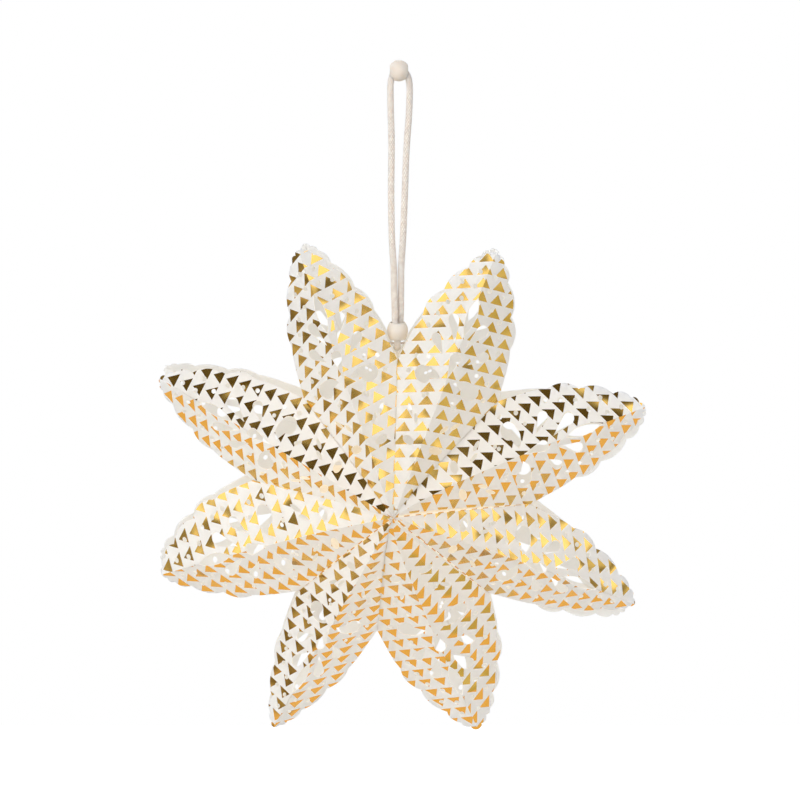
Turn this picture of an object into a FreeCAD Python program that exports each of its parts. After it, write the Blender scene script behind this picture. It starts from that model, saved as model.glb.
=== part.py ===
import FreeCAD, Part
import math
import os

# Folded card star with cut-out leaves, hung on a doubled cord with two wooden beads.
# Lengths are millimetres. +X right, +Z up, the star's front faces -Y.
# The origin is where a hook bears: the underside of the bead at the top of the loop.
# A leaf is one folded sheet. Its shape is written in shares of the leaf reach, measured in
# the star's own plane: along the ridge from the star's axis, and across from the ridge.

os.makedirs("parts", exist_ok=True)
doc = FreeCAD.newDocument("card_star")
sheet = doc.addObject("Spreadsheet::Sheet", "sizes")

SIZES = {
    # Star body.
    "leafReach": 130.0,  # star axis to leaf tip, in the star's plane
    "cardThickness": 0.4,  # one sheet of card
    "apexDepth": 59.0,  # mid plane to the front centre point
    "tipDepth": 8.0,  # mid plane to a leaf tip
    "notchDepth": 11.0,  # mid plane to the outer end of a seam
    "notchAlongShare": 0.4923,  # outer end of a seam, along the ridge
    "notchAcrossShare": 0.2038,  # outer end of a seam, across from the ridge
    "arcDeviation": 0.3,  # a cut arc is made of straight steps, this near to it
    # Cord and beads.
    "cordDiameter": 3.3,  # soft braided cord
    "beadDiameter": 10.4,  # both wooden beads
    "slideBeadAcross": -0.75,  # slide bead and tie thread, from the origin
    "slideBeadDrop": 124.2,  # slide bead centre below the origin
    "boreClearance": 0.8,  # slide bead's bore over two strands side by side
    "flareWidth": 0.45,  # how much wider the bore's mouths are, all round
    "flareDepthShare": 0.16,  # depth of a mouth's flare, share of the bead
    "turnRadius": 3.3,  # cord turning into the top bead
    "cordGap": 0.2,  # between the cord's two ends in the top bead
    # Tie thread and the two ears it goes through.
    "threadBelowBead": 1.0,  # thread under the slide bead
    "threadDiameter": 0.9,  # tie thread
    "threadClearance": 0.1,  # between the thread and what lies round it
    "knotDiameter": 1.7,  # knots of the tie thread
    "knotLength": 1.2,  # along the thread
    "knotSeat": 0.2,  # between a knot and its ear
    "earRound": 1.7,  # round top of an ear, about the thread
    "earFoot": 4.0,  # half width of an ear where it leaves the rib
    "earLeanAngle": 28.0,  # degrees an ear leans from the seam
    "earRimAngle": 25.0,  # where an ear's round top begins, above the thread
    "earGap": 0.28,  # between the cord's bend and the ears
    "overrun": 4.0,  # tools run on past what they cut
}
# The star was opened by hand: where each leaf and each seam points, in degrees from +X, and
# how far each one reaches. Seam 1 is the gap at the top, and leaf 1 lies to the left of it.
LEAF_ANGLES = [110.9, 67.4, 19.3, -25.4, -70.9, -116.5, -160.1, 153.3]
LEAF_REACH_SHARES = [1.002, 1.001, 1.011, 1.026, 0.998, 1.044, 0.945, 0.990]
SEAM_ANGLES = [88.3, 42.5, -4.1, -46.7, -96.7, -133.7, 174.0, 132.1]
SEAM_REACH_SHARES = [0.528, 0.543, 0.528, 0.538, 0.545, 0.531, 0.542, 0.510]
# How far each rear leaf is turned from the front one.
REAR_TURN_ANGLES = [0.0, 0.0, 0.0, -4.0, 0.0, 0.0, 0.0, 0.0]
COUNT = len(LEAF_ANGLES)
for k in range(COUNT):
    SIZES["leafAngle%d" % (k + 1)] = LEAF_ANGLES[k]
    SIZES["leafReachShare%d" % (k + 1)] = LEAF_REACH_SHARES[k]
    SIZES["seamAngle%d" % (k + 1)] = SEAM_ANGLES[k]
    SIZES["seamReachShare%d" % (k + 1)] = SEAM_REACH_SHARES[k]
    SIZES["rearTurnAngle%d" % (k + 1)] = REAR_TURN_ANGLES[k]
stored = []


def store(alias, value):
    """Puts one named value in the sheet's next row."""
    stored.append(alias)
    row = len(stored)
    sheet.set("A%d" % row, alias)
    sheet.set("B%d" % row, str(value))
    sheet.setAlias("B%d" % row, alias)


def val(alias):
    """A value from the sheet, as a plain number."""
    v = sheet.get(alias)
    return float(getattr(v, "Value", v))


def vec(x, y, z):
    return FreeCAD.Vector(x, y, z)


for alias, value in SIZES.items():
    store(alias, value)
doc.recompute()

REACH = val("leafReach")
CARD = val("cardThickness")
CORD = val("cordDiameter")
NOTCH_SHARES = (val("notchAlongShare"), val("notchAcrossShare"))

# Sizes that follow from the others. The cord's bend goes round the tie thread, the ears stand
# clear of that bend, and the star hangs from the thread by its ears.
lean = math.radians(val("earLeanAngle"))
bend_reach = (CORD + val("threadDiameter")) / 2 + val("threadClearance")
ear_rise = bend_reach + (CORD / 2 + val("earGap")) / math.sin(lean)
thread_drop = val("slideBeadDrop") + val("beadDiameter") / 2 + val("threadBelowBead")
hinge = vec(val("slideBeadAcross"), 0, -thread_drop)


def seam_frame(seam):
    """A seam's plane: outward along it, across it, and how far it reaches."""
    a = math.radians(val("seamAngle%d" % seam))
    out = vec(math.cos(a), 0, math.sin(a))
    over = vec(-math.sin(a), 0, math.cos(a))
    return out, over, val("seamReachShare%d" % seam) * REACH


top_out, top_over, top_reach = seam_frame(1)
star_at = hinge - vec(0, 0, ear_rise) - top_out * top_reach


def ear_frame(sign):
    """Upward direction of an ear and the middle of its hole, from the star's centre."""
    up = top_out * math.cos(lean) + top_over * (sign * math.sin(lean))
    return up, top_out * top_reach + up * (ear_rise / up.z)


ear_spread = max(abs((ear_frame(sign)[1] + star_at - hinge).x) for sign in (1, -1))
outside = CARD / math.cos(lean) + val("knotDiameter") / 2 * math.tan(lean) + val("knotSeat")
store("threadLength", 2 * (ear_spread + outside) + val("knotLength"))
store("threadDrop", thread_drop)
store("boreDiameter", 2 * CORD + val("boreClearance"))
store("flareDiameter", 2 * CORD + val("boreClearance") + 2 * val("flareWidth"))
doc.recompute()

# Half a leaf, in shares of the reach: (along, across). Straight edge, then lobes by start,
# crown and end. Each lobe starts where the last one ends.
SIDE_SHARES = [(0.546, 0.1985), (0.604, 0.193), (0.650, 0.186), (0.685, 0.176)]
LOBE_SHARES = [((0.750, 0.171), (0.794, 0.1345)), ((0.865, 0.120), (0.9115, 0.077)),
               ((0.952, 0.069), (0.971, 0.044)), ((0.990, 0.038), (0.994, 0.019)),
               ((1.0065, 0.014), (1.009, 0.0))]
# Half openings on the ridge, from the tip inward: start, crown, end.
RIDGE_SLOT_SHARES = ((0.838, 0.0), (0.765, 0.020), (0.692, 0.0))
RIDGE_DROP_SHARES = ((0.623, 0.0), (0.616, 0.0165), (0.594, 0.0195), (0.525, 0.0))
# Drops beside the ridge: point, centre of the round end, radius of the round end.
DROP_SHARES = [((0.592, 0.050), (0.633, 0.0945), 0.020), ((0.650, 0.021), (0.723, 0.058), 0.0222)]
# Comma near the seam: arcs by start, crown and end, closed by a straight edge.
COMMA_SHARES = [((0.5135, 0.025), (0.5325, 0.058), (0.5265, 0.096)),
                ((0.5265, 0.096), (0.494, 0.126), (0.4665, 0.0925)),
                ((0.4665, 0.0925), (0.4755, 0.070), (0.4955, 0.0615))]


def plan(angle, reach_share, depth):
    """A point of the front shell, from its direction and reach in the star's plane."""
    a = math.radians(angle)
    r = reach_share * REACH
    return vec(r * math.cos(a), -depth, r * math.sin(a))


class Panel:
    """One flat half of a leaf: from the front centre point, the leaf tip and a seam's end."""

    def __init__(self, leaf, seam, rear):
        turn = val("rearTurnAngle%d" % leaf) if rear else 0
        self.apex = vec(0, -val("apexDepth"), 0)
        self.tip = plan(val("leafAngle%d" % leaf) + turn, val("leafReachShare%d" % leaf),
                        val("tipDepth"))
        self.notch = plan(val("seamAngle%d" % seam), val("seamReachShare%d" % seam),
                          val("notchDepth"))
        self.rear = rear

    def at(self, share):
        across = share[1] / NOTCH_SHARES[1]
        along = share[0] - NOTCH_SHARES[0] * across
        p = self.apex + (self.tip - self.apex) * along + (self.notch - self.apex) * across
        return vec(p.x, -p.y, p.z) if self.rear else p

    def bend(self, start, crown, end):
        """Points of an arc after its start, in short straight steps, which keeps the many
        cut-outs light."""
        a, b = self.at(start), self.at(end)
        arc = Part.Arc(a, self.at(crown), b)
        turn = arc.LastParameter - arc.FirstParameter
        radius = arc.toShape().Curve.Radius
        steps = max(2, math.ceil(turn / (2 * math.acos(1 - val("arcDeviation") / radius))))
        return [arc.value(arc.FirstParameter + turn * i / steps) for i in range(1, steps)] + [b]

    def outline(self):
        """Seam, side edge, lobes to the tip, then back along the ridge past its openings."""
        points = [self.at((0, 0)), self.at(NOTCH_SHARES)] + [self.at(p) for p in SIDE_SHARES]
        here = SIDE_SHARES[-1]
        for crown, end in LOBE_SHARES:
            points += self.bend(here, crown, end)
            here = end
        points.append(self.at(RIDGE_SLOT_SHARES[0]))
        points += self.bend(*RIDGE_SLOT_SHARES)
        points.append(self.at(RIDGE_DROP_SHARES[0]))
        points += self.bend(*RIDGE_DROP_SHARES[:3])
        points.append(self.at(RIDGE_DROP_SHARES[3]))
        return points

    def drop(self, point, centre, radius):
        """A drop-shaped hole: two straight sides and a round end."""
        dx, dy = centre[0] - point[0], centre[1] - point[1]
        d = math.hypot(dx, dy)
        ux, uy = radius * dx / d, radius * dy / d
        a = (centre[0] - uy, centre[1] + ux)
        m = (centre[0] + ux, centre[1] + uy)
        b = (centre[0] + uy, centre[1] - ux)
        return [self.at(point), self.at(a)] + self.bend(a, m, b)

    def comma(self):
        points = [self.at(COMMA_SHARES[0][0])]
        for arc in COMMA_SHARES:
            points += self.bend(*arc)
        return points

    def step(self):
        """The card's thickness, measured straight through the star."""
        n = (self.tip - self.apex).cross(self.notch - self.apex)
        n.normalize()
        return CARD / abs(n.y)

    def solid(self):
        def face(points):
            return Part.Face(Part.makePolygon(points + points[:1]))

        holes = [face(self.drop(*d)) for d in DROP_SHARES] + [face(self.comma())]
        card = face(self.outline()).cut(Part.Compound(holes)).Faces[0]
        inward = -self.step() if self.rear else self.step()
        return card.extrude(vec(0, inward, 0))


def seam_before(leaf):
    return leaf - 1 if leaf > 1 else COUNT


def keep(name, shape, base):
    """A sub-part whose shape is worked out from the sheet."""
    obj = doc.addObject("Part::Feature", name)
    obj.Label = name
    obj.Shape = shape
    obj.Placement = FreeCAD.Placement(base, FreeCAD.Rotation())
    return obj


# Leaves. Leaf k lies between seam k - 1 and seam k.
pieces = []
for side, rear in (("front", False), ("rear", True)):
    for k in range(1, COUNT + 1):
        halves = [Panel(k, seam, rear).solid() for seam in (seam_before(k), k)]
        leaf = halves[0].fuse(halves[1]).removeSplitter()
        pieces.append(keep("%s_leaf_%d" % (side, k), leaf.Solids[0], star_at))


def near_end(seam):
    """Where a rib starts: far enough out to clear the ribs beside it."""
    here = val("seamAngle%d" % seam)
    beside = (seam_before(seam), seam % COUNT + 1)
    gaps = [abs((val("seamAngle%d" % n) - here + 180) % 360 - 180) for n in beside]
    return CARD / math.tan(math.radians(min(gaps) / 2))


def rib(seam, low, high):
    """A flat rib in a seam's plane, from near the axis out to the seam's end. low and high
    are its two faces, measured across from the seam's plane."""
    out, over, far = seam_frame(seam)
    near = near_end(seam)
    under = max(Panel(leaf, seam, rear).step()
                for leaf in (seam, seam % COUNT + 1) for rear in (False, True))
    top, end = val("apexDepth") - under, val("notchDepth") - under
    at_near = top + (end - top) * near / far
    corners = [out * near + vec(0, -at_near, 0), out * far + vec(0, -end, 0),
               out * far + vec(0, end, 0), out * near + vec(0, at_near, 0)]
    corners = [c + over * low for c in corners]
    return Part.Face(Part.makePolygon(corners + corners[:1])).extrude(over * (high - low))


for seam in range(2, COUNT + 1):
    pieces.append(keep("seam_rib_%d" % seam, rib(seam, -CARD, CARD), star_at))


def end_rib(name, sign):
    """One end sheet of the fan, with the ear that the tie thread goes through."""
    low, high = (0, CARD) if sign > 0 else (-CARD, 0)
    foot = top_out * top_reach
    up, centre = ear_frame(sign)
    face_dir = top_over * (sign * math.cos(lean)) - top_out * math.sin(lean)
    r, w = val("earRound"), val("earFoot")
    y = vec(0, 1, 0)
    rim = math.radians(val("earRimAngle"))
    left = centre - y * (r * math.cos(rim)) + up * (r * math.sin(rim))
    right = centre + y * (r * math.cos(rim)) + up * (r * math.sin(rim))
    edges = [Part.LineSegment(foot - y * w, left).toShape(),
             Part.Arc(left, centre + up * r, right).toShape(),
             Part.LineSegment(right, foot + y * w).toShape(),
             Part.LineSegment(foot + y * w, foot - y * w).toShape()]
    ear = Part.Face(Part.Wire(edges)).extrude(face_dir * CARD)
    over = val("overrun")
    hole = Part.makeCylinder(val("threadDiameter") / 2 + val("threadClearance"), 2 * over,
                             centre - vec(over, 0, 0), vec(1, 0, 0))
    return keep(name, rib(1, low, high).fuse(ear.cut(hole)).removeSplitter().Solids[0], star_at)


pieces.append(end_rib("end_rib_left", 1))
pieces.append(end_rib("end_rib_right", -1))

# Tie thread: a straight thread with a knot at each end.
THREAD_SIDES = 8
rods = []
for n, radius, length, place in (("core", "threadDiameter", "threadLength", "0"),
                                 ("knot_a", "knotDiameter", "knotLength", "-sizes.threadLength"),
                                 ("knot_b", "knotDiameter", "knotLength", "sizes.threadLength")):
    rod = doc.addObject("Part::Prism", "thread_" + n)
    rod.Polygon = THREAD_SIDES
    rod.setExpression("Circumradius", "sizes.%s / 2 * 1 mm" % radius)
    rod.setExpression("Height", "sizes.%s * 1 mm" % length)
    rod.Placement.Rotation = FreeCAD.Rotation(vec(0, 1, 0), 90)
    rod.setExpression(".Placement.Base.x", "(%s - sizes.%s) / 2 * 1 mm" % (place, length))
    rods.append(rod)
tie = doc.addObject("Part::MultiFuse", "tie_thread")
tie.Label = "tie_thread"
tie.Shapes = rods
tie.setExpression(".Placement.Base.x", "sizes.slideBeadAcross * 1 mm")
tie.setExpression(".Placement.Base.z", "-sizes.threadDrop * 1 mm")
pieces.append(tie)

BEAD_STEPS = 9


def turned_ball(axis, across):
    """A bead before boring: a ball turned about its bore's axis, in BEAD_STEPS tapers."""
    r = val("beadDiameter") / 2
    angles = [math.pi * i / BEAD_STEPS for i in range(1, BEAD_STEPS)]
    profile = [across * (r * math.sin(a)) - axis * (r * math.cos(a)) for a in angles]
    profile = [axis * -r] + profile + [axis * r, axis * -r]
    return Part.Face(Part.makePolygon(profile)).revolve(vec(0, 0, 0), axis, 360)


# Slide bead: a ball with a bore for two strands, flared at both mouths. Each flare's cone
# runs on as far again past the mouth, so it clears the ball.
ball = keep("slide_ball", turned_ball(vec(0, 0, 1), vec(1, 0, 0)), vec(0, 0, 0))
bore = doc.addObject("Part::Cylinder", "slide_bore")
bore.setExpression("Radius", "sizes.boreDiameter / 2 * 1 mm")
bore.setExpression("Height", "sizes.beadDiameter * 1 mm")
bore.setExpression(".Placement.Base.z", "-sizes.beadDiameter / 2 * 1 mm")
mouth_z = "sqrt(sizes.beadDiameter ^ 2 - sizes.flareDiameter ^ 2) / 2"
flares = []
for n, sign in (("top", 1), ("low", -1)):
    cone = doc.addObject("Part::Cone", "flare_" + n)
    cone.setExpression("Radius1", "sizes.boreDiameter / 2 * 1 mm")
    cone.setExpression("Radius2", "(sizes.flareDiameter - sizes.boreDiameter / 2) * 1 mm")
    cone.setExpression("Height", "2 * sizes.flareDepthShare * sizes.beadDiameter * 1 mm")
    base = "(%s - sizes.flareDepthShare * sizes.beadDiameter) * 1 mm" % mouth_z
    if sign > 0:
        cone.setExpression(".Placement.Base.z", base)
    else:
        cone.Placement.Rotation = FreeCAD.Rotation(vec(1, 0, 0), 180)
        cone.setExpression(".Placement.Base.z", "-" + base)
    flares.append(cone)
tools = doc.addObject("Part::MultiFuse", "slide_tools")
tools.Shapes = [bore] + flares
slide = doc.addObject("Part::Cut", "slide_bead")
slide.Label = "slide_bead"
slide.Base, slide.Tool = ball, tools
slide.setExpression(".Placement.Base.x", "sizes.slideBeadAcross * 1 mm")
slide.setExpression(".Placement.Base.z", "-sizes.slideBeadDrop * 1 mm")
pieces.append(slide)

# Cord: both strands in one length, from the top bead down round the tie thread and up again.
# Heights below the origin are shares of the drop to the slide bead, sideways and depth
# places are shares of the cord's diameter.
TOP_LEFT_SHARE, TOP_RIGHT_SHARE = -1.273, 1.621
LEFT_SHARES = [(-1.273, 0.00, 0.095), (-1.061, 0.02, 0.242), (-1.212, 0.03, 0.432),
               (-1.061, -0.02, 0.654), (-0.803, -0.08, 0.741), (-0.773, -0.15, 0.827),
               (-0.606, -0.30, 0.918), (-0.651, -0.32, 0.968)]
RIGHT_SHARES = [(1.561, 0.00, 0.115), (1.061, -0.03, 0.275), (0.848, -0.02, 0.474),
                (0.530, 0.02, 0.667), (0.348, 0.08, 0.741), (0.303, 0.15, 0.827),
                (0.273, 0.30, 0.918), (0.197, 0.32, 0.968)]
# Where the strands leave the bead: depth as a share of the bend's reach, and height below the
# bead's centre as a share of the bead.
MOUTH_SHARE = 0.96
RIM_SHARE = 0.337
CORD_SIDES = 10
DROP = val("slideBeadDrop")
MID = val("slideBeadAcross")
bottom = thread_drop + bend_reach
mouth = DROP + val("beadDiameter") * RIM_SHARE
bead_height = val("beadDiameter") / 2


def strand(shares):
    return [vec(x * CORD, y * CORD, -z * DROP) for x, y, z in shares]


left_x, right_x = TOP_LEFT_SHARE * CORD, TOP_RIGHT_SHARE * CORD
half_gap = val("cordGap") / 2
start_x = (left_x + right_x) / 2
route = [vec(start_x - half_gap, 0, bead_height), vec(left_x, 0, bead_height)]
route += strand(LEFT_SHARES)
route += [vec(MID, -MOUTH_SHARE * bend_reach, -mouth), vec(MID, -bend_reach, -bottom),
          vec(MID, bend_reach, -bottom), vec(MID, MOUTH_SHARE * bend_reach, -mouth)]
route += list(reversed(strand(RIGHT_SHARES)))
route += [vec(right_x, 0, bead_height), vec(start_x + half_gap, 0, bead_height)]


def cord_tube(points):
    """A tube of straight runs joined by tangent arcs: a many-sided ring is drawn along each
    run and turned round each bend. The two turns into the top bead have a radius of their
    own. Gives the solid, its ring's area, the length and the radii."""
    along = points[1] - points[0]
    ring = Part.makePolygon([vec(CORD / 2 * math.cos(i * math.tau / CORD_SIDES),
                                 CORD / 2 * math.sin(i * math.tau / CORD_SIDES), 0)
                             for i in range(CORD_SIDES)] + [vec(CORD / 2, 0, 0)])
    ring.Placement = FreeCAD.Placement(points[0], FreeCAD.Rotation(vec(0, 0, 1), along))
    faces, radii, length, here = [Part.Face(ring)], [], 0, points[0]
    last = len(points) - 1
    for i in range(1, last + 1):
        b = points[i]
        back = points[i - 1] - b
        run = back.Length
        back.normalize()
        if i < last:
            on = points[i + 1] - b
            run = min(run, on.Length)
            on.normalize()
            half = (math.pi - back.getAngle(on)) / 2
            cut = val("turnRadius") * math.tan(half) if i in (1, last - 1) else 0.45 * run
            stop = b + back * cut
        else:
            stop = b
        faces += ring.extrude(stop - here).Faces
        ring = ring.translated(stop - here)
        length += (stop - here).Length
        if i < last:
            radius = cut / math.tan(half)
            toward = back + on
            toward.normalize()
            centre = b + toward * (radius / math.cos(half))
            axis = on.cross(back)
            faces += ring.revolve(centre, axis, math.degrees(2 * half)).Faces
            ring = ring.rotated(centre, axis, math.degrees(2 * half))
            length += radius * 2 * half
            radii.append(round(radius, 1))
            here = b + on * cut
    faces.append(Part.Face(ring))
    skin = Part.Compound(faces)
    skin.sewShape()
    return Part.Solid(skin.Shells[0]), faces[0].Area, length, radii


cord_shape, ring_area, cord_length, radii = cord_tube(route)
print("cord arc radii", radii)
print("cord length", round(cord_length, 1), "volume share",
      round(cord_shape.Volume / (cord_length * ring_area), 4))
cord = keep("cord_loop", cord_shape, vec(0, 0, 0))
pieces.append(cord)

# Top bead: the cord's two ends sit in its cross bore, which has the cord's own shape.
top_ball = keep("top_ball", turned_ball(vec(1, 0, 0), vec(0, 0, 1)), vec(0, 0, bead_height))
top = doc.addObject("Part::Cut", "top_bead")
top.Label = "top_bead"
top.Base, top.Tool = top_ball, cord
pieces.append(top)

doc.recompute()
for obj in doc.Objects:
    bad = [s for s in obj.State if s in ("Invalid", "Error")]
    if bad:
        raise RuntimeError("%s: %s" % (obj.Name, obj.State))
for obj in pieces:
    shape = obj.Shape
    if shape.isNull() or not shape.isValid():
        raise RuntimeError("%s has no valid shape" % obj.Label)
    shape.exportStep("parts/%s.step" % obj.Label)
    print(obj.Label, "volume", round(shape.Volume, 1), "solids", len(shape.Solids))
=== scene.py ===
"""A folded card star on a doubled cord loop, with a sliding wooden bead and a bead at the top.

Everything is in metres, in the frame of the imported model: +Z up along the cord, the front
of the star towards -Y, and the origin where a hook bears in the loop.
"""

import math

import bmesh
import bpy
from mathutils import Matrix, Vector


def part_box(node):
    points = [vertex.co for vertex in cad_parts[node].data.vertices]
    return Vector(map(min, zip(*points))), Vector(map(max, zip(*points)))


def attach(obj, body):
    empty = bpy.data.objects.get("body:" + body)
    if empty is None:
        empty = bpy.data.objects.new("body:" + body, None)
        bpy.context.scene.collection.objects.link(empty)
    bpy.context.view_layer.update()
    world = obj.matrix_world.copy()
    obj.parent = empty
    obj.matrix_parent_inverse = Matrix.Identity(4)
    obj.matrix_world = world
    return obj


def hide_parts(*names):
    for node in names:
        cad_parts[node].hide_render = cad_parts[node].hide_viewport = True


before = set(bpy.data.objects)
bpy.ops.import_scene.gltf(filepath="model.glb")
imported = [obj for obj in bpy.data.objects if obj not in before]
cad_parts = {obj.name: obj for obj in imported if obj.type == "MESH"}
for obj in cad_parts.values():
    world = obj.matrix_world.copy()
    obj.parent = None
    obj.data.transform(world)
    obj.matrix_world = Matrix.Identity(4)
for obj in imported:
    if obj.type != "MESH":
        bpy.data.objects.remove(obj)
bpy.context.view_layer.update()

# The camera stands where the photographer did: level with the top of the ornament and
# tilted down at it, a metre and a half away, with a long lens.
camera_tilt = math.radians(11.9)
camera_distance = 1.55
camera_aim = Vector((0.0005, 0.0, -0.1594))
camera_data = bpy.data.cameras.new("studio_camera")
camera_data.lens = 139.5
camera_data.sensor_width = 36.0
camera = bpy.data.objects.new("studio_camera", camera_data)
bpy.context.scene.collection.objects.link(camera)
camera.location = camera_aim + camera_distance * Vector((0.0, -math.cos(camera_tilt),
                                                         math.sin(camera_tilt)))
camera.rotation_euler = (math.pi / 2 - camera_tilt, 0.0, 0.0)
bpy.context.scene.camera = camera

# The cord is soft braided cotton, 3.3 mm thick, threaded through the top bead, doubled, and
# led down through the slide bead to a bight that holds the star. It is one length whose ends
# meet inside the top bead.
cord_thickness = 0.0033
cord_points_mm = [
    (0.474, 0, 5.2), (-4.201, 0, 5.2),
    (-4.2009, 0, -11.799), (-3.5013, 0.066, -30.0564), (-3.9996, 0.099, -53.6544),
    (-3.5013, -0.066, -81.2268), (-2.5, -0.264, -92.0322), (-2.5509, -0.495, -102.7134),
    (-1.9998, -0.99, -114.0156), (-2.05, -1.056, -120.2256),
    (-0.75, -2.112, -127.705), (-0.75, -2.2, -132.6),
    (-0.75, 2.2, -132.6), (-0.75, 2.112, -127.705),
    (0.6501, 1.056, -120.2256), (0.9009, 0.99, -114.0156), (0.9999, 0.495, -102.7134),
    (1.0, 0.264, -92.0322), (1.749, 0.066, -82.8414), (2.7984, -0.066, -58.8708),
    (3.5013, -0.099, -34.155), (5.1513, 0, -14.283),
    (5.349, 0, 5.2), (0.674, 0, 5.2),
]


def linear(colour):
    """An sRGB hex colour as linear red, green, blue and a full alpha."""
    shares = [int(colour[i:i + 2], 16) / 255 for i in (1, 3, 5)]
    return [c / 12.92 if c <= 0.04045 else ((c + 0.055) / 1.055) ** 2.4 for c in shares] + [1.0]


def add_node(tree, kind, settings=(), **sockets):
    """Adds a node. settings are its own properties; each socket gets a value or a link."""
    made = tree.nodes.new(kind)
    for name, value in dict(settings).items():
        setattr(made, name, value)
    for name, value in sockets.items():
        key = int(name[1:]) if name[1:].isdigit() else name.replace("_", " ")
        if isinstance(value, bpy.types.NodeSocket):
            tree.links.new(value, made.inputs[key])
        else:
            made.inputs[key].default_value = value
    return made


def strip_tree(owner, output_name):
    """Turns on a material's or world's nodes and takes out all but the output."""
    owner.use_nodes = True
    tree = owner.node_tree
    output = tree.nodes[output_name]
    for old in list(tree.nodes):
        if old != output:
            tree.nodes.remove(old)
    return tree, output


def new_finish(name):
    """A material of that name, and its tree with nothing but the output in it."""
    finish = bpy.data.materials.new(name)
    return (finish,) + strip_tree(finish, "Material Output")


# Matte cotton braid: no gloss but a soft nap at grazing angles, pinkish beige, with the small
# diagonal stitches of a 3 mm braid. A stitch is 1.3 mm long and there are 8 round the cord.
# The colour carries painted shade: darker in the grooves between stitches and lighter on their
# crests, over random patches of tone.
braid, tree, output = new_finish("Braided cotton cord")
stitch_length = 0.0013
cord_length = 0.285
stitches_round = 8
stitches_along = cord_length / stitch_length
fuzz_height = 0.45
groove_shade_share = 0.45
patch_tone = 0.9
where = add_node(tree, "ShaderNodeTexCoord")
split = add_node(tree, "ShaderNodeSeparateXYZ", i0=where.outputs["UV"])
turns = add_node(tree, "ShaderNodeMath", {"operation": "MULTIPLY"}, i0=split.outputs[0],
                 i1=stitches_along * math.tau / 2)
around = add_node(tree, "ShaderNodeMath", {"operation": "MULTIPLY"}, i0=split.outputs[1],
                  i1=stitches_round * math.tau / 2)
lean_left = add_node(tree, "ShaderNodeMath", {"operation": "ADD"}, i0=turns.outputs[0],
                     i1=around.outputs[0])
lean_right = add_node(tree, "ShaderNodeMath", {"operation": "SUBTRACT"}, i0=turns.outputs[0],
                      i1=around.outputs[0])
wave_left = add_node(tree, "ShaderNodeMath", {"operation": "SINE"}, i0=lean_left.outputs[0])
wave_right = add_node(tree, "ShaderNodeMath", {"operation": "SINE"}, i0=lean_right.outputs[0])
crossing = add_node(tree, "ShaderNodeMath", {"operation": "MULTIPLY"}, i0=wave_left.outputs[0],
                    i1=wave_right.outputs[0])
stitch = add_node(tree, "ShaderNodeMath", {"operation": "ABSOLUTE"}, i0=crossing.outputs[0])
fuzz = add_node(tree, "ShaderNodeTexNoise", Scale=2600.0, Detail=3.0, Vector=where.outputs["Object"])
shade = add_node(tree, "ShaderNodeTexNoise", Scale=650.0, Detail=2.0, Vector=where.outputs["Object"])
relief = add_node(tree, "ShaderNodeMath", {"operation": "MULTIPLY_ADD"}, i0=fuzz.outputs[0],
                  i1=fuzz_height, i2=stitch.outputs[0])
patchy = add_node(tree, "ShaderNodeMath", {"operation": "MULTIPLY"}, i0=shade.outputs[0], i1=patch_tone)
# Painted shade in the grooves: the colour follows the stitch height, plus random patches of tone.
groove_shade_and_patches = add_node(tree, "ShaderNodeMath", {"operation": "MULTIPLY_ADD"}, i0=stitch.outputs[0],
                i1=groove_shade_share, i2=patchy.outputs[0])
yarn_with_groove_shade = add_node(tree, "ShaderNodeMix", {"data_type": "RGBA"}, i0=groove_shade_and_patches.outputs[0],
                i6=linear("#C4AE9D"), i7=linear("#FFF3E6"))
bump = add_node(tree, "ShaderNodeBump", Strength=0.9, Distance=0.0004, Height=relief.outputs[0])
cotton = add_node(tree, "ShaderNodeBsdfPrincipled", Roughness=0.95, IOR=1.45,
                  Sheen_Weight=0.25, Sheen_Roughness=0.6, Subsurface_Weight=1.0,
                  Subsurface_Radius=(1.0, 0.9, 0.8), Subsurface_Scale=0.003,
                  Base_Color=yarn_with_groove_shade.outputs["Result"], Normal=bump.outputs[0])
tree.links.new(cotton.outputs[0], output.inputs[0])

cord_data = bpy.data.curves.new("cord", "CURVE")
cord_data.dimensions = "3D"
line = cord_data.splines.new("NURBS")
line.points.add(len(cord_points_mm) - 1)
for point, place in zip(line.points, cord_points_mm):
    point.co = [c / 1000 for c in place] + [1.0]
line.order_u = 3
line.use_endpoint_u = True
line.resolution_u = 10
cord_data.bevel_depth = cord_thickness / 2
cord_data.bevel_resolution = 5
cord = bpy.data.objects.new("cord", cord_data)
bpy.context.scene.collection.objects.link(cord)
cord_data.materials.append(braid)
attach(cord, "hanger")
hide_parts("cord_loop")

# The two beads are turned from pale unvarnished birch, 10.4 mm across. The top one is drilled
# crosswise for the cord's ends; the slide bead has a wide bore that both strands fill.
bead_across = 0.0104


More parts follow.
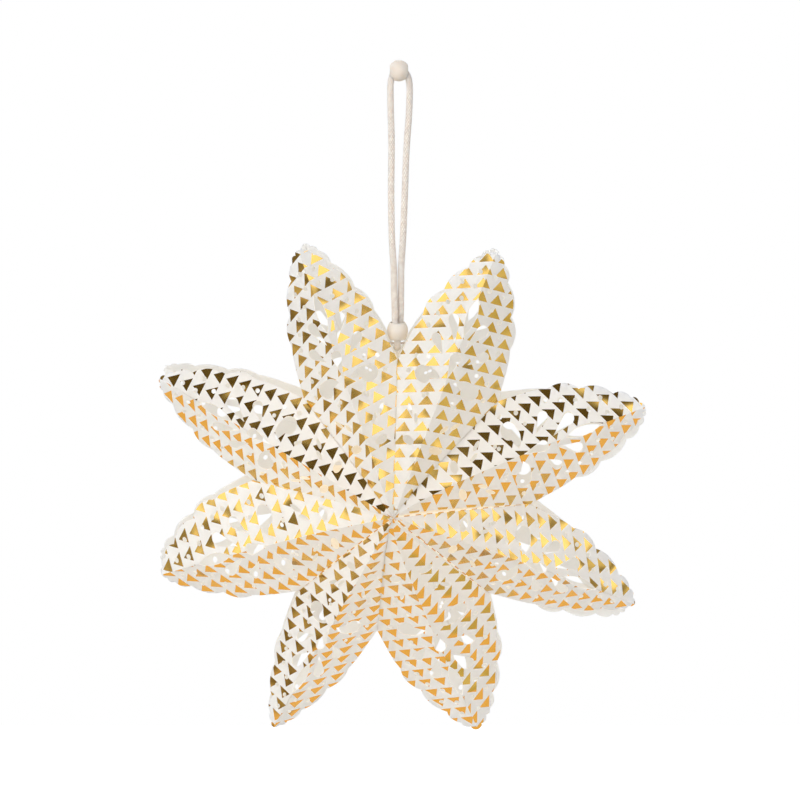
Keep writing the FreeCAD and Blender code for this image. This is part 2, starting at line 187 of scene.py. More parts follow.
def turned_bead(name, centre, bore, rounding, tallness):
    """A ball with a bore up through it: both ends cut off, then the bore drawn in and joined."""
    bpy.ops.object.select_all(action="DESELECT")
    bpy.ops.mesh.primitive_uv_sphere_add(segments=56, ring_count=36, radius=bead_across / 2)
    made = bpy.context.object
    made.name = name
    mouth = bore / 2 + rounding
    height = tallness * math.sqrt((bead_across / 2) ** 2 - mouth ** 2)
    bpy.ops.object.mode_set(mode="EDIT")
    bpy.ops.mesh.select_all(action="SELECT")
    bpy.ops.transform.resize(value=(1, 1, tallness))
    for side in (1, -1):
        bpy.ops.mesh.select_all(action="SELECT")
        bpy.ops.mesh.bisect(plane_co=(0, 0, side * height), plane_no=(0, 0, side), clear_outer=True)
    drawn = bmesh.from_edit_mesh(made.data)
    for side in (1, -1):
        ring = [v for v in drawn.verts if abs(v.co.z - side * height) < 1e-7]
        for step in (0.33, 0.66, 1.0):
            turn = step * math.pi / 2
            reach = bore / 2 + rounding * (1 - math.sin(turn))
            level = side * (height - rounding * (1 - math.cos(turn)))
            edges = [e for e in drawn.edges if e.is_boundary and all(v in ring for v in e.verts)]
            grown = bmesh.ops.extrude_edge_only(drawn, edges=edges)["geom"]
            ring = [v for v in grown if isinstance(v, bmesh.types.BMVert)]
            for v in ring:
                flat = Vector((v.co.x, v.co.y)).normalized() * reach
                v.co = (flat.x, flat.y, level)
    bmesh.update_edit_mesh(made.data)
    bpy.ops.mesh.select_all(action="DESELECT")
    drawn = bmesh.from_edit_mesh(made.data)
    for edge in drawn.edges:
        edge.select = edge.is_boundary
    bmesh.update_edit_mesh(made.data)
    bpy.ops.mesh.select_mode(type="EDGE")
    bpy.ops.mesh.bridge_edge_loops()
    bpy.ops.mesh.select_all(action="SELECT")
    bpy.ops.mesh.normals_make_consistent(inside=False)
    bpy.ops.object.mode_set(mode="OBJECT")
    bpy.ops.object.shade_smooth_by_angle(angle=math.radians(40))
    made.location = centre
    return made


top_bead = turned_bead("top_bead_turned", centre=(0, 0, bead_across / 2), bore=0.0042,
                       rounding=0.0005, tallness=1.0)
top_bead.rotation_euler = (0, math.pi / 2, 0)
slide_bead = turned_bead("slide_bead_turned", centre=(-0.00075, 0, -0.1242), bore=0.0069,
                         rounding=0.0004, tallness=1.24)
bpy.ops.object.select_all(action="DESELECT")
for bead in (top_bead, slide_bead):
    bead.select_set(True)
bpy.ops.object.transform_apply(location=True, rotation=True, scale=True)

# Turned birch: satin, cream with a faint pink, and fine grain lines about 0.7 mm apart that
# run round the bead where the tool cut across them. A wave texture of scale 1 repeats every
# 0.31 m, so that length over the spacing gives its scale.
birch, tree, output = new_finish("Turned birch, unvarnished")
wave_repeat = 0.31
grain_spacing = 0.0007
grain_share = 0.35
where = add_node(tree, "ShaderNodeTexCoord")
tilted = add_node(tree, "ShaderNodeMapping", Vector=where.outputs["Object"], Rotation=(0.2, 0.5, 0.1))
grain = add_node(tree, "ShaderNodeTexWave", {"wave_type": "BANDS", "bands_direction": "X"},
                 Vector=tilted.outputs[0], Scale=wave_repeat / grain_spacing, Distortion=4.0, Detail=3.0)
pores = add_node(tree, "ShaderNodeTexNoise", Vector=tilted.outputs[0], Scale=1400.0, Detail=4.0)
mixed = add_node(tree, "ShaderNodeMath", {"operation": "MULTIPLY_ADD"}, i0=grain.outputs["Fac"],
                 i1=grain_share, i2=pores.outputs[0])
wood = add_node(tree, "ShaderNodeMix", {"data_type": "RGBA"}, i0=mixed.outputs[0],
                i6=linear("#D0C2B1"), i7=linear("#E9DDCF"))
dent = add_node(tree, "ShaderNodeBump", Strength=0.25, Distance=0.0001, Height=mixed.outputs[0])
satin = add_node(tree, "ShaderNodeBsdfPrincipled", Roughness=0.48, IOR=1.5, Subsurface_Weight=0.8,
                 Subsurface_Radius=(1.0, 0.85, 0.7), Subsurface_Scale=0.003,
                 Base_Color=wood.outputs["Result"], Normal=dent.outputs[0])
tree.links.new(satin.outputs[0], output.inputs[0])
for bead, body, node_name in ((top_bead, "hanger", "top_bead"), (slide_bead, "slider", "slide_bead")):
    bead.data.materials.append(birch)
    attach(bead, body)
    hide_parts(node_name)

# The tie is a thin cotton thread through the two top corners of the folded stack and the
# cord's bight. It holds the opened star and is knotted outside each corner.
low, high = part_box("tie_thread")
thread_across = 0.0009
thread_middle = [(a + b) / 2 for a, b in zip(low, high)]
knot_inset = 0.0006
knot_turns = (-0.5, 0.5)
knot_loop = 0.0005
knot_strand = 0.00032
bpy.ops.object.select_all(action="DESELECT")
bpy.ops.mesh.primitive_cylinder_add(vertices=16, radius=thread_across / 2, depth=high[0] - low[0],
                                    location=thread_middle, rotation=(0, math.pi / 2, 0))
thread = bpy.context.object
bpy.ops.object.mode_set(mode="EDIT")
bpy.ops.mesh.select_all(action="SELECT")
bpy.ops.mesh.bevel(offset=0.00015, segments=2)
bpy.ops.object.mode_set(mode="OBJECT")
knots = [thread]
for end in (low[0] + knot_inset, high[0] - knot_inset):
    for tilt in knot_turns:
        bpy.ops.mesh.primitive_torus_add(location=(end, thread_middle[1], thread_middle[2]),
                                         rotation=(0.2, math.pi / 2 + tilt, 0),
                                         major_radius=knot_loop, minor_radius=knot_strand,
                                         major_segments=20, minor_segments=8)
        knots.append(bpy.context.object)
bpy.ops.object.select_all(action="DESELECT")
for part in knots:
    part.select_set(True)
bpy.context.view_layer.objects.active = thread
bpy.ops.object.join()
thread.name = "tie_thread_knotted"
bpy.ops.object.transform_apply(location=True, rotation=True, scale=True)
bpy.ops.object.shade_smooth_by_angle(angle=math.radians(50))

# Twisted sewing cotton: matte and slightly darker than the cord, with a 0.5 mm twist. Its
# colour carries painted shade: darker in the grooves of the twist and lighter on its crests.
twist, tree, output = new_finish("Twisted sewing cotton")
twist_spacing = 0.0005
where = add_node(tree, "ShaderNodeTexCoord")
ply = add_node(tree, "ShaderNodeTexWave", {"wave_type": "BANDS", "bands_direction": "DIAGONAL"},
               Vector=where.outputs["Object"], Scale=wave_repeat / twist_spacing, Distortion=0.6)
# Painted shade: the colour follows the twist's height, darker in its grooves.
twist_with_painted_shade = add_node(tree, "ShaderNodeMix", {"data_type": "RGBA"}, i0=ply.outputs["Fac"],
                i6=linear("#DCC4AE"), i7=linear("#F3E3D2"))
raised = add_node(tree, "ShaderNodeBump", Strength=0.5, Distance=0.0001, Height=ply.outputs["Fac"])
strand = add_node(tree, "ShaderNodeBsdfPrincipled", Roughness=0.9, Base_Color=twist_with_painted_shade.outputs["Result"],
                  Normal=raised.outputs[0])
tree.links.new(strand.outputs[0], output.inputs[0])
thread.data.materials.append(twist)
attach(thread, "star")
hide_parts("tie_thread")

# A leaf is one sheet of ivory card, die-cut like lace and creased along its ridge, so that it
# opens into two panels. The halves are cut alike. The drawing is of one half, in shares of
# the leaf's own length, along the ridge and across it.
half_side = [(0.4923, 0.2038), (0.546, 0.1985), (0.604, 0.193), (0.650, 0.186), (0.685, 0.176)]
scallops = [((0.750, 0.171), (0.794, 0.1345)), ((0.865, 0.120), (0.9115, 0.077)),
            ((0.952, 0.069), (0.971, 0.044)), ((0.990, 0.038), (0.994, 0.019)),
            ((1.0065, 0.014), (1.009, 0.0))]
ridge_slot = [(0.838, 0.0), (0.765, 0.020), (0.692, 0.0)]
ridge_drop = [(0.623, 0.0), (0.616, 0.0165), (0.594, 0.0195), (0.525, 0.0)]
drops = [((0.592, 0.050), (0.633, 0.0945), 0.020), ((0.650, 0.021), (0.723, 0.058), 0.0222)]
comma = [(0.5135, 0.025), (0.5325, 0.058), (0.5265, 0.096), (0.494, 0.126), (0.4665, 0.0925),
         (0.4755, 0.070), (0.4955, 0.0615)]
pinholes = [((0.481, 0.150), 0.0088), ((0.542, 0.142), 0.0088), ((0.660, 0.142), 0.0088),
            ((0.715, 0.125), 0.0088), ((0.769, 0.104), 0.0088), ((0.806, 0.060), 0.0088),
            ((0.860, 0.081), 0.0088), ((0.869, 0.029), 0.0088), ((0.925, 0.029), 0.0088),
            ((0.562, 0.096), 0.0077), ((0.442, 0.050), 0.0077), ((0.431, 0.062), 0.0077)]
slits = [((0.265, 0.054), 0.023, 0.015, 90), ((0.345, 0.056), 0.019, 0.0075, 30),
         ((0.365, 0.090), 0.020, 0.0075, 40)]


def arc_points(start, via, end, steps):
    """Points on the arc from start through via to end, without its start."""
    (ax, ay), (bx, by), (cx, cy) = start, via, end
    d = 2 * (ax * (by - cy) + bx * (cy - ay) + cx * (ay - by))
    ux = ((ax**2 + ay**2) * (by - cy) + (bx**2 + by**2) * (cy - ay) + (cx**2 + cy**2) * (ay - by)) / d
    uy = ((ax**2 + ay**2) * (cx - bx) + (bx**2 + by**2) * (ax - cx) + (cx**2 + cy**2) * (bx - ax)) / d
    radius = math.hypot(ax - ux, ay - uy)
    first, middle, last = (math.atan2(y - uy, x - ux) for x, y in (start, via, end))
    sweep = (last - first) % math.tau
    if (middle - first) % math.tau > sweep:
        sweep -= math.tau
    turned = [first + sweep * i / steps for i in range(1, steps + 1)]
    return [(ux + radius * math.cos(t), uy + radius * math.sin(t)) for t in turned[:-1]] + [end]


def drop_points(point, centre, radius):
    """A teardrop: a point and the round end of that centre and radius, joined by tangents."""
    dx, dy = centre[0] - point[0], centre[1] - point[1]
    away = math.hypot(dx, dy)
    heading = math.atan2(dy, dx)
    lean = math.acos(radius / away)
    start = heading + math.pi - lean
    sweep = -(math.tau - 2 * lean)
    return [point] + [(centre[0] + radius * math.cos(start + sweep * i / 20),
                       centre[1] + radius * math.sin(start + sweep * i / 20)) for i in range(21)]


def oval_points(centre, half_long, half_wide, turn, count):
    """An oval of that many points, turned by that many degrees."""
    c, s = math.cos(math.radians(turn)), math.sin(math.radians(turn))
    ring = [(half_long * math.cos(math.tau * i / count), half_wide * math.sin(math.tau * i / count))
            for i in range(count)]
    return [(centre[0] + c * p - s * q, centre[1] + s * p + c * q) for p, q in ring]


rim = list(half_side)
for crown, end in scallops:
    rim += arc_points(rim[-1], crown, end, steps=12)
ridge_cut = arc_points(*ridge_slot, steps=20)
drop_cut = [ridge_drop[0]] + arc_points(*ridge_drop[:3], steps=6) + [ridge_drop[3]]
outlines = [[(0.0, 0.0)] + rim + [ridge_slot[0]] + ridge_cut + drop_cut]
outlines += [drop_points(*d) for d in drops]
bent = [comma[0]]
for i in range(0, 6, 2):
    bent += arc_points(bent[-1], comma[i + 1], comma[i + 2], steps=10)
outlines.append(bent)
for (x, y), radius in pinholes:
    outlines.append(oval_points((x, y), radius, radius, 0, 14))
for (x, y), half_long, half_wide, turn in slits:
    outlines.append(oval_points((x, y), half_long, half_wide, turn, 18))

bpy.ops.object.select_all(action="DESELECT")
drawing = bpy.data.curves.new("half_leaf", "CURVE")
drawing.dimensions = "2D"
drawing.fill_mode = "BOTH"
for outline in outlines:
    edge = drawing.splines.new("POLY")
    edge.points.add(len(outline) - 1)
    for point, (x, y) in zip(edge.points, outline):
        point.co = (x, y, 0.0, 1.0)
    edge.use_cyclic_u = True
half_leaf = bpy.data.objects.new("half_leaf", drawing)
bpy.context.scene.collection.objects.link(half_leaf)
half_leaf.select_set(True)
bpy.context.view_layer.objects.active = half_leaf
bpy.ops.object.convert(target="MESH")
half_leaf = bpy.context.object
bpy.ops.object.mode_set(mode="EDIT")
bpy.ops.mesh.select_all(action="SELECT")
bpy.ops.mesh.remove_doubles(threshold=0.0002)
bend_step = 0.025
for cuts, along, across in ((40, 1, 0), (8, 0, 1)):
    for i in range(1, cuts):
        bpy.ops.mesh.select_all(action="SELECT")
        bpy.ops.mesh.bisect(plane_co=(along * i * bend_step, across * i * bend_step, 0),
                            plane_no=(along, across, 0))
bpy.ops.object.mode_set(mode="OBJECT")
half_mesh = half_leaf.data
for unused in list(half_mesh.uv_layers):
    half_mesh.uv_layers.remove(unused)

# Foil-printed card: matte ivory paper with rows of small triangles stamped in gold foil. The
# foil is a thin metal, so it mirrors the studio: bright where a panel faces a lamp, brown
# where it faces the dark. The print's own grid is in the UV map, in millimetres.
foil_row = 6.8
foil_pitch = 10.45
foil_height = 5.1
foil_base = 8.5
paper_roughness, foil_roughness = 0.75, 0.25
paper_ripple, foil_ripple = 0.15, 0.95
fibre_height = 0.0012
printed, tree, output = new_finish("Ivory card with gold foil print")
where = add_node(tree, "ShaderNodeTexCoord")
split = add_node(tree, "ShaderNodeSeparateXYZ", i0=where.outputs["UV"])
rise = add_node(tree, "ShaderNodeMath", {"operation": "FLOORED_MODULO"}, i0=split.outputs[0],
                i1=foil_row)
slide = add_node(tree, "ShaderNodeMath", {"operation": "FLOORED_MODULO"}, i0=split.outputs[1],
                 i1=foil_pitch)
centred = add_node(tree, "ShaderNodeMath", {"operation": "SUBTRACT"}, i0=slide.outputs[0],
                   i1=foil_pitch / 2)
off_axis = add_node(tree, "ShaderNodeMath", {"operation": "ABSOLUTE"}, i0=centred.outputs[0])
slope = foil_base / 2 / foil_height
room = add_node(tree, "ShaderNodeMath", {"operation": "MULTIPLY_ADD"}, i0=rise.outputs[0], i1=-slope,
                i2=foil_base / 2)
inside = add_node(tree, "ShaderNodeMath", {"operation": "LESS_THAN"}, i0=off_axis.outputs[0],
                  i1=room.outputs[0])
ripple = add_node(tree, "ShaderNodeTexNoise", Vector=where.outputs["Object"], Scale=48.0, Detail=0.6)
fibre = add_node(tree, "ShaderNodeTexNoise", Vector=where.outputs["Object"], Scale=3500.0, Detail=3.0)
ivory = add_node(tree, "ShaderNodeMix", {"data_type": "RGBA"}, i0=fibre.outputs[0],
                 i6=linear("#EEEFF1"), i7=linear("#F9FBFD"))
stamped = add_node(tree, "ShaderNodeMix", {"data_type": "RGBA"}, i0=inside.outputs[0],
                   i6=ivory.outputs["Result"], i7=linear("#E4BE6A"))
smooth = add_node(tree, "ShaderNodeMath", {"operation": "MULTIPLY_ADD"}, i0=inside.outputs[0],
                  i1=foil_roughness - paper_roughness, i2=paper_roughness)
bare = add_node(tree, "ShaderNodeMath", {"operation": "MULTIPLY_ADD"}, i0=inside.outputs[0],
                i1=-fibre_height, i2=fibre_height)
relief = add_node(tree, "ShaderNodeMath", {"operation": "MULTIPLY_ADD"}, i0=fibre.outputs[0],
                  i1=bare.outputs[0], i2=ripple.outputs[0])
flex = add_node(tree, "ShaderNodeMath", {"operation": "MULTIPLY_ADD"}, i0=inside.outputs[0],
                i1=foil_ripple - paper_ripple, i2=paper_ripple)
wave_bump = add_node(tree, "ShaderNodeBump", Strength=flex.outputs[0], Distance=0.008,
                     Height=relief.outputs[0])
card = add_node(tree, "ShaderNodeBsdfPrincipled", IOR=1.45, Base_Color=stamped.outputs["Result"],
                Metallic=inside.outputs[0], Roughness=smooth.outputs[0], Normal=wave_bump.outputs[0],
                Subsurface_Weight=1.0, Subsurface_Radius=(0.9, 0.9, 0.9), Subsurface_Scale=0.005)
tree.links.new(card.outputs[0], output.inputs[0])

# The back of the same card, and its cut edge, are uncoated and creamier. The faint glow stands
# in for the light that comes through such thin card.
card_back, tree, output = new_finish("Uncoated cream card")
where = add_node(tree, "ShaderNodeTexCoord")
fibre = add_node(tree, "ShaderNodeTexNoise", Vector=where.outputs["Object"], Scale=1800.0, Detail=4.0)
cream = add_node(tree, "ShaderNodeMix", {"data_type": "RGBA"}, i0=fibre.outputs[0],
                 i6=linear("#F8EFDE"), i7=linear("#FFF8E9"))
fine = add_node(tree, "ShaderNodeBump", Strength=0.2, Distance=0.0001, Height=fibre.outputs[0])
matte = add_node(tree, "ShaderNodeBsdfPrincipled", Roughness=0.9, IOR=1.45,
                 Base_Color=cream.outputs["Result"], Normal=fine.outputs[0],
                 Emission_Color=linear("#FFF0D6"), Emission_Strength=0.09,
                 Subsurface_Weight=1.0, Subsurface_Radius=(0.9, 0.9, 0.9), Subsurface_Scale=0.005)
tree.links.new(matte.outputs[0], output.inputs[0])

# Each leaf's tip and seams are where the hand-opened star has them. A ridge bows to the side
# in the plane of the star, and two leaves swell outward, by the metres and most at the share of
# the length given here. The numbers run from leaf 1, left of the top seam, clockwise.
star_at = Vector((-0.002786, 0.0, -0.205321))
leaf_reach = 0.130
card_thickness = 0.0004
apex_depth, tip_depth, notch_depth = 0.059, 0.008, 0.011
leaf_angles = [110.9, 67.4, 19.3, -25.4, -70.9, -116.5, -160.1, 153.3]
leaf_shares = [1.002, 1.001, 1.011, 1.026, 0.998, 1.044, 0.945, 0.990]
seam_angles = [88.3, 42.5, -4.1, -46.7, -96.7, -133.7, 174.0, 132.1]
seam_shares = [0.528, 0.543, 0.528, 0.538, 0.545, 0.531, 0.542, 0.510]
leaf_count = len(leaf_angles)
seam_along, seam_across = half_side[0]
rear_turns = [-1.2, 0, -2.2, -3.3, 1.0, 0, -1.8, -1.5]
front_bows = [(0.0, 0.5), (0.0, 0.5), (0.0032, 0.35), (0.002, 0.6), (-0.0035, 0.25), (0.0, 0.5),
              (-0.0027, 0.5), (0.0, 0.5)]
rear_bows = [(0.0, 0.5), (-0.0035, 0.65), (-0.0045, 0.6), (-0.0015, 0.6), (0.0, 0.5), (0.0, 0.5),
             (0.001, 0.5), (0.001, 0.5)]
swells = [(0.0, 0.5), (0.0, 0.5), (0.0, 0.5), (0.005, 0.62), (0.0, 0.5), (0.0, 0.5), (0.005, 0.62),
          (0.0, 0.5)]
print_turn = math.radians(13.4)
# Where each panel's print starts on its grid, anticlockwise side first, in millimetres.
print_starts = [((5.61, 2.55), (5.75, 2.58)), ((3.93, 1.93), (3.92, 3.04)), ((1.81, 1.12), (1.42, 3.75)),
                ((4.1, -0.7), (3.09, 0.02)), ((6.10, 4.38), (5.59, 7.78)), ((3.3, 8.6), (4.54, 8.32)),
                ((3.2, 3.9), (1.65, 6.95)), ((0.25, 7.43), (5.2, 8.55))]


def polar(angle, reach, depth):
    """A point of the star at that angle and reach from its middle, and that far towards -Y or +Y."""
    a = math.radians(angle)
    return Vector((reach * math.cos(a), depth, reach * math.sin(a))) + star_at


def hump(share, top_at):
    """A smooth wave along a ridge: 0 at both ends and 1 at the share top_at."""
    return math.sin(math.pi * share ** (math.log(0.5) / math.log(top_at))) if 0 < share < 1 else 0.0


for side, face in (("front", -1), ("rear", 1)):
    apex = star_at + Vector((0, face * apex_depth, 0))
    for leaf in range(leaf_count):
        angle = leaf_angles[leaf] + (rear_turns[leaf] if side == "rear" else 0)
        tip = polar(angle, leaf_reach * leaf_shares[leaf], face * tip_depth)
        ridge = tip - apex
        ridge_length = ridge.length
        bow, bow_at = (front_bows if side == "front" else rear_bows)[leaf]
        swell, swell_at = swells[leaf]
        sideways = Vector((-math.sin(math.radians(angle)), 0, math.cos(math.radians(angle))))
        panels = []
        for hand, seam in ((1, (leaf - 1) % leaf_count), (-1, leaf)):
            notch = polar(seam_angles[seam], leaf_reach * seam_shares[seam], face * notch_depth)
            across = ((notch - apex) - seam_along * ridge) / seam_across
            lift = ridge.cross(across).normalized()
            if lift.y * face < 0:
                lift = -lift
            place = Matrix((ridge, across, lift)).transposed().to_4x4()
            place.translation = apex
            panel = half_mesh.copy()
            foot = (notch - apex).dot(ridge) / ridge_length
            depth = (notch - apex - ridge * (foot / ridge_length)).length
            start_p, start_q = print_starts[leaf][0 if hand * -face > 0 else 1]
            grid = panel.uv_layers.new(name="print_grid")
            spots = []
            for v in panel.vertices:
                u, w = v.co.x, v.co.y / seam_across
                s = (u * ridge_length + w * (foot - seam_along * ridge_length)) * 1000
                t = w * depth * 1000 * hand * -face
                spots.append((s * math.cos(print_turn) + t * math.sin(print_turn) - start_p,
                              s * math.sin(print_turn) - t * math.cos(print_turn) - start_q))
                bowed = sideways * (bow * hump(u, bow_at))
                swollen = Vector((0, face * (swell * hump(u, swell_at)), 0))
                v.co = (place @ v.co) + (bowed + swollen) * max(0.0, 1 - w)
            for corner in panel.loops:
                grid.data[corner.index].uv = spots[corner.vertex_index]
            panel.update()
            if sum(f.normal.y * face * f.area for f in panel.polygons) < 0:
                panel.flip_normals()
            half = bpy.data.objects.new("half", panel)
            bpy.context.scene.collection.objects.link(half)
            panels.append(half)
        bpy.ops.object.select_all(action="DESELECT")
        for half in panels:
            half.select_set(True)
        made = panels[0]
        bpy.context.view_layer.objects.active = made
        bpy.ops.object.join()
        made.name = "%s_leaf_%d_printed" % (side, leaf + 1)
        bpy.ops.object.mode_set(mode="EDIT")
        bpy.ops.mesh.select_all(action="SELECT")
        bpy.ops.mesh.remove_doubles(threshold=0.000005)
        bpy.ops.object.mode_set(mode="OBJECT")
        made.data.materials.append(printed)
        made.data.materials.append(card_back)
        wall = made.modifiers.new("card", "SOLIDIFY")
        wall.thickness = card_thickness
        wall.offset = -1.0
        wall.material_offset = 1
        wall.material_offset_rim = 1
        bpy.ops.object.modifier_apply(modifier="card")
        bpy.ops.object.shade_smooth_by_angle(angle=math.radians(25))
        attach(made, "star")
        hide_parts("%s_leaf_%d" % (side, leaf + 1))
bpy.data.objects.remove(half_leaf)

# The ribs are folded strips of the same card, glued into each seam to tie the front shell to
# the rear one. The two end ribs close the stack at the top, and their ears take the thread.
# The print runs on over the fold, so a rib's edge shows cream card and a dash of foil by turns.
# The folded ribs' cream card glows faintly: a painted glow that lightens them where they sit in
# shade inside the star.
folded, tree, output = new_finish("Folded rib card with foil dashes and a painted glow")
dash_length = 0.0033
# Strength of the painted glow on the cream rib card, which is no lamp.
rib_painted_glow = 0.22
where = add_node(tree, "ShaderNodeTexCoord")
outward = add_node(tree, "ShaderNodeVectorMath", {"operation": "DISTANCE"}, i0=where.outputs["Object"],
                   i1=star_at - Vector((0, apex_depth, 0)))
beat = add_node(tree, "ShaderNodeMath", {"operation": "FLOORED_MODULO"}, i0=outward.outputs["Value"],
                i1=foil_row / 1000)
in_row = add_node(tree, "ShaderNodeMath", {"operation": "LESS_THAN"}, i0=beat.outputs[0], i1=dash_length)
from_axis = add_node(tree, "ShaderNodeVectorMath", {"operation": "SUBTRACT"}, i0=where.outputs["Object"],
                     i1=star_at)
flat = add_node(tree, "ShaderNodeVectorMath", {"operation": "MULTIPLY"}, i0=from_axis.outputs[0],
                i1=(1.0, 0.0, 1.0))
radial = add_node(tree, "ShaderNodeVectorMath", {"operation": "NORMALIZE"}, i0=flat.outputs[0])
broad = add_node(tree, "ShaderNodeVectorMath", {"operation": "CROSS_PRODUCT"}, i0=radial.outputs[0],
                 i1=(0.0, 1.0, 0.0))
facing = add_node(tree, "ShaderNodeVectorMath", {"operation": "DOT_PRODUCT"}, i0=broad.outputs[0],
                  i1=where.outputs["Normal"])
flatness = add_node(tree, "ShaderNodeMath", {"operation": "ABSOLUTE"}, i0=facing.outputs["Value"])
on_edge = add_node(tree, "ShaderNodeMath", {"operation": "LESS_THAN"}, i0=flatness.outputs[0], i1=0.5)
dash = add_node(tree, "ShaderNodeMath", {"operation": "MULTIPLY"}, i0=in_row.outputs[0],
                i1=on_edge.outputs[0])
edge_tone = add_node(tree, "ShaderNodeMix", {"data_type": "RGBA"}, i0=dash.outputs[0],
                     i6=linear("#F6EEDF"), i7=linear("#D9A24C"))
dull = add_node(tree, "ShaderNodeMath", {"operation": "MULTIPLY_ADD"}, i0=dash.outputs[0], i1=-0.4,
                i2=0.85)
# Painted glow: the cream card glows, the foil dashes do not.
painted_cream_glow = add_node(tree, "ShaderNodeMath", {"operation": "MULTIPLY_ADD"}, i0=dash.outputs[0],
                      i1=-rib_painted_glow, i2=rib_painted_glow)
edge_card = add_node(tree, "ShaderNodeBsdfPrincipled", IOR=1.45, Base_Color=edge_tone.outputs["Result"],
                     Metallic=dash.outputs[0], Roughness=dull.outputs[0],
                     Emission_Color=linear("#FAF0E0"), Emission_Strength=painted_cream_glow.outputs[0])
tree.links.new(edge_card.outputs[0], output.inputs[0])
for name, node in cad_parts.items():
    if "rib" in name:
        node.data.materials.clear()
        node.data.materials.append(card_back if "end" in name else folded)

# The studio: a pale floor under the hanging star, far enough down to be out of the picture,
# four soft boxes, the strongest up on the left, and a white background. The foil mirrors the
# floor in a warm tone, and the walls that the world has for glossy rays.
bpy.ops.object.select_all(action="DESELECT")
bpy.ops.mesh.primitive_plane_add(size=2.6, location=(0, 0, -0.75))
floor = bpy.context.object
floor.name = "studio_floor"
floor_paint, tree, output = new_finish("Pale studio floor")
path = add_node(tree, "ShaderNodeLightPath")
ground = add_node(tree, "ShaderNodeBsdfDiffuse", Color=linear("#F2EEE8"))
lift_light = add_node(tree, "ShaderNodeEmission", Color=linear("#FFFFFF"), Strength=0.6)
lifted = add_node(tree, "ShaderNodeAddShader", i0=ground.outputs[0], i1=lift_light.outputs[0])
plain = add_node(tree, "ShaderNodeMixShader", i0=path.outputs["Is Camera Ray"],
                 i1=ground.outputs[0], i2=lifted.outputs[0])
warm = add_node(tree, "ShaderNodeEmission", Color=linear("#F4D6AA"), Strength=1.15)
chosen = add_node(tree, "ShaderNodeMixShader", i0=path.outputs["Is Glossy Ray"],
                  i1=plain.outputs[0], i2=warm.outputs[0])
tree.links.new(chosen.outputs[0], output.inputs[0])
floor.data.materials.append(floor_paint)

softbox_side = 1.6
softbox_colour = (0.95, 0.975, 1.0)
softboxes = [("key_softbox", 39.0, (-1.7, -1.3, 1.4)), ("fill_softbox", 4.0, (1.7, -1.3, 1.2)),
             ("front_softbox", 25.0, (0.1, -2.0, 0.7)), ("back_softbox", 13.0, (0.3, 2.0, 1.1))]
for name, watts, place in softboxes:
    lamp_data = bpy.data.lights.new(name, "AREA")
    lamp_data.shape = "SQUARE"
    lamp_data.size = softbox_side
    lamp_data.energy = watts
    lamp_data.color = softbox_colour
    lamp = bpy.data.objects.new(name, lamp_data)
    bpy.context.scene.collection.objects.link(lamp)
    lamp.location = place
    lamp.rotation_euler = (camera_aim - lamp.location).to_track_quat("-Z", "Y").to_euler()
    lamp.visible_glossy = False

# The walls that the foil mirrors, from straight down (0) to straight up (1): pale card above
# eye level at both sides, with a dark gap lower down on the left, and a brown ceiling. Dark
# flags stand at the far sides. The camera sees plain white. The card gets a cool, even light.
world = bpy.data.worlds.new("studio")
bpy.context.scene.world = world
tree, output = strip_tree(world, "World Output")
path = add_node(tree, "ShaderNodeLightPath")
seen = add_node(tree, "ShaderNodeTexCoord")
split = add_node(tree, "ShaderNodeSeparateXYZ", i0=seen.outputs["Generated"])
height_share = add_node(tree, "ShaderNodeMath", {"operation": "MULTIPLY_ADD"}, i0=split.outputs[2],
                        i1=0.5, i2=0.5)
leftward = add_node(tree, "ShaderNodeMapRange", {"interpolation_type": "SMOOTHSTEP"},
                    Value=split.outputs[0], From_Min=-0.9, From_Max=-0.4, To_Min=1.0, To_Max=0.0)
right_wall = [(0.0, "#D8C8B4"), (0.20, "#B3AE8C"), (0.36, "#A09C7A"), (0.50, "#B9B7A3"),
              (0.64, "#FFFFFF"), (0.85, "#FFFFFF"), (0.89, "#6F6C65"), (0.94, "#48412F")]
left_wall = [(0.0, "#D8C8B4"), (0.20, "#C6BA9E"), (0.33, "#6F6C65"), (0.40, "#48412F"),
             (0.45, "#85795F"), (0.49, "#8C826A"), (0.66, "#F8F4EC"), (0.855, "#FFFFFF"),
             (0.895, "#6F6C65"), (0.94, "#48412F")]
walls = []
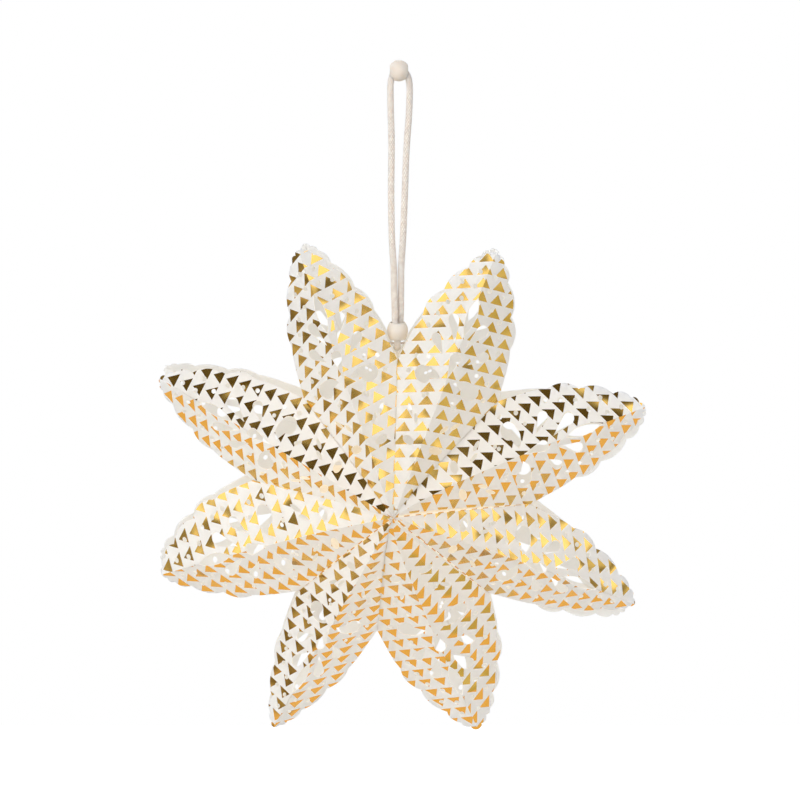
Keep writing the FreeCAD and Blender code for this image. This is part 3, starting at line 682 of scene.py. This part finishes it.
for stops in (right_wall, left_wall):
    wall = add_node(tree, "ShaderNodeValToRGB", i0=height_share.outputs[0])
    while len(wall.color_ramp.elements) < len(stops):
        wall.color_ramp.elements.new(0.5)
    for element, (height, colour) in zip(wall.color_ramp.elements, stops):
        element.position = height
    for element, (height, colour) in zip(wall.color_ramp.elements, stops):
        element.color = linear(colour)
    walls.append(wall)
both_walls = add_node(tree, "ShaderNodeMix", {"data_type": "RGBA"}, i0=leftward.outputs[0],
                      i6=walls[0].outputs[0], i7=walls[1].outputs[0])
off_centre = add_node(tree, "ShaderNodeMath", {"operation": "ABSOLUTE"}, i0=split.outputs[0])
aside = add_node(tree, "ShaderNodeMapRange", {"interpolation_type": "SMOOTHSTEP"},
                 Value=off_centre.outputs[0], From_Min=0.85, From_Max=0.88)
above = add_node(tree, "ShaderNodeMapRange", {"interpolation_type": "SMOOTHSTEP"},
                 Value=height_share.outputs[0], From_Min=0.54, From_Max=0.62)
flag = add_node(tree, "ShaderNodeMath", {"operation": "MULTIPLY"}, i0=aside.outputs[0],
                i1=above.outputs[0])
flagged = add_node(tree, "ShaderNodeMix", {"data_type": "RGBA"}, i0=flag.outputs[0],
                   i6=both_walls.outputs["Result"], i7=linear("#625C4C"))
mirrored = add_node(tree, "ShaderNodeBackground", Color=flagged.outputs["Result"], Strength=1.68)
ambient = add_node(tree, "ShaderNodeBackground", Color=linear("#E8F0FF"), Strength=0.38)
white = add_node(tree, "ShaderNodeBackground", Color=linear("#FFFFFF"), Strength=1.0)
shiny = add_node(tree, "ShaderNodeMixShader", i0=path.outputs["Is Glossy Ray"], i1=ambient.outputs[0],
                 i2=mirrored.outputs[0])
clear = add_node(tree, "ShaderNodeMixShader", i0=path.outputs["Is Transmission Ray"],
                 i1=shiny.outputs[0], i2=white.outputs[0])
shown = add_node(tree, "ShaderNodeMixShader", i0=path.outputs["Is Camera Ray"], i1=clear.outputs[0],
                 i2=white.outputs[0])
tree.links.new(shown.outputs[0], output.inputs[0])
bpy.context.scene.view_settings.view_transform = "Standard"
